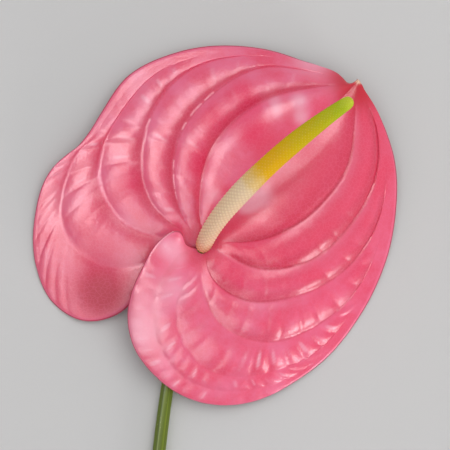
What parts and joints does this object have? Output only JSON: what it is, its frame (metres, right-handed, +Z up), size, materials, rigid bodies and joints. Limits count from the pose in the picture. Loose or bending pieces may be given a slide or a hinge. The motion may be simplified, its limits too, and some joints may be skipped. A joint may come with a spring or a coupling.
{
  "type": "cut anthurium",
  "caption": "Cut anthurium flower lying face up: a heart-shaped pink spathe, a curved cream-to-green spadix and a long bare green stem, for a vase, a bouquet or a table.",
  "frame": {"origin": "middle of the flower's footprint on the surface it lies on", "axes": "+Y along the stem towards the flower, +Z up out of the spathe's face, +X to the right of both"},
  "size_m": [0.1472, 0.3834, 0.0551],
  "materials": {
    "spathe": "living blade with a waxy gloss; pink with lighter pillows between sunken veins",
    "spadix": "satin, covered in tiny bumpy florets; cream at the foot, golden in the middle, green at the tip",
    "stem": "smooth satin green skin with faint lengthwise streaks"
  },
  "bodies": {
    "root": {"spathe": "spathe", "spadix": "spadix", "stem": "stem"}
  },
  "joints": []
}
